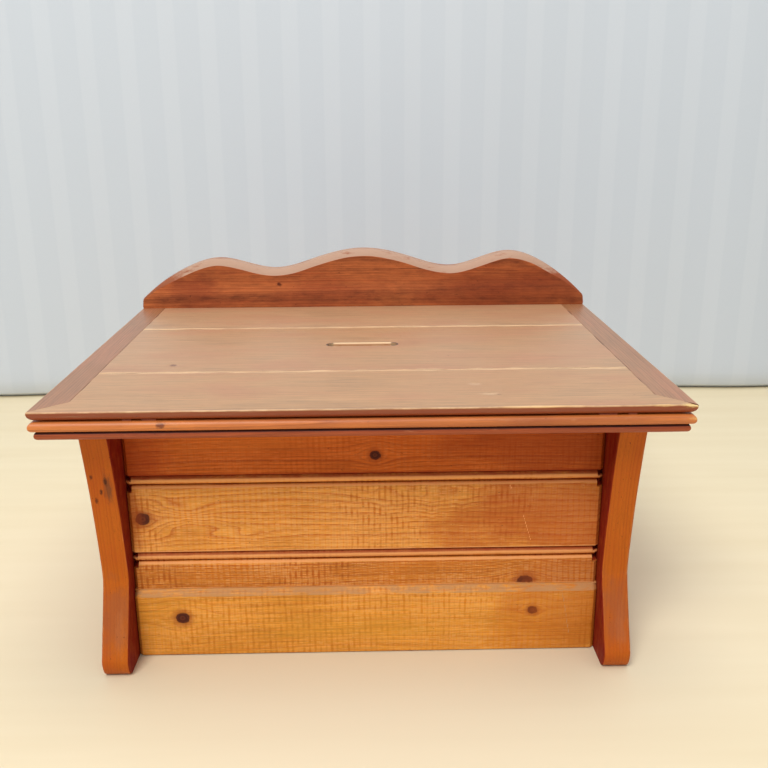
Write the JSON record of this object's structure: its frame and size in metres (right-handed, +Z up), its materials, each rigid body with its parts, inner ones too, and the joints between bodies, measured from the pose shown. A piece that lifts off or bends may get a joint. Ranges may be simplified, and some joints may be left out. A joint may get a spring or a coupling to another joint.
{
  "type": "bread box",
  "caption": "Wooden bread box: a plank case between flared end panels, a flat lid hinged along its rear edge with a slot in it, and a scalloped rail standing on the lid.",
  "frame": {"origin": "on the ground under the middle of the box's overall length and depth", "axes": "+X to the right along the front, -Y towards the front, +Z up"},
  "size_m": [0.42, 0.3326, 0.2593],
  "materials": {
    "pine_case": "satin varnish",
    "pine_front": "satin varnish",
    "pine_frame": "satin varnish",
    "pine_lid": "worn satin varnish",
    "pine_rail": "satin varnish",
    "pine_inside": "bare",
    "felt": "matt",
    "hinge_brass": "aged",
    "screw_brass": "aged",
    "brad_steel": "dull"
  },
  "bodies": {
    "box": {"left_end_panel": "pine_case", "right_end_panel": "pine_case", "front_top_board": "pine_front", "front_middle_board": "pine_front", "front_lower_board": "pine_front", "front_skirt_board": "pine_front", "back_lower_board": "pine_case", "back_middle_board": "pine_case", "back_top_board": "pine_case", "floor_front_board": "pine_inside", "floor_middle_board": "pine_inside", "floor_rear_board": "pine_inside", "corner_cleat_front_left": "pine_inside", "corner_cleat_front_right": "pine_inside", "corner_cleat_rear_left": "pine_inside", "corner_cleat_rear_right": "pine_inside", "floor_cleat_left": "pine_inside", "floor_cleat_right": "pine_inside", "frame_front": "pine_frame", "frame_rear": "pine_frame", "frame_left": "pine_frame", "frame_right": "pine_frame", "trim_front": "pine_frame", "trim_left": "pine_frame", "trim_right": "pine_frame", "lid_rest_pads": "felt", "hinge_frame_leaves": "hinge_brass", "hinge_pins": "hinge_brass", "frame_leaf_screws": "screw_brass", "frame_brads": "brad_steel", "trim_brads": "brad_steel", "floor_brads": "brad_steel", "cleat_screws": "screw_brass"},
    "lid": {"lid_front_plank": "pine_lid", "lid_middle_plank": "pine_lid", "lid_rear_plank": "pine_lid", "lid_left_end_board": "pine_lid", "lid_right_end_board": "pine_lid", "lid_batten_left": "pine_inside", "lid_batten_right": "pine_inside", "batten_screws": "screw_brass", "back_rail": "pine_rail", "rail_screws": "screw_brass", "hinge_lid_leaves": "hinge_brass", "lid_leaf_screws": "screw_brass", "end_board_brads": "brad_steel"}
  },
  "joints": [
    {"name": "lid_hinge", "type": "hinge", "parent": "box", "child": "lid", "pos_m": [0, 0.164, 0.199], "axis": [-1, 0, 0], "range_deg": [0, 170]}
  ]
}
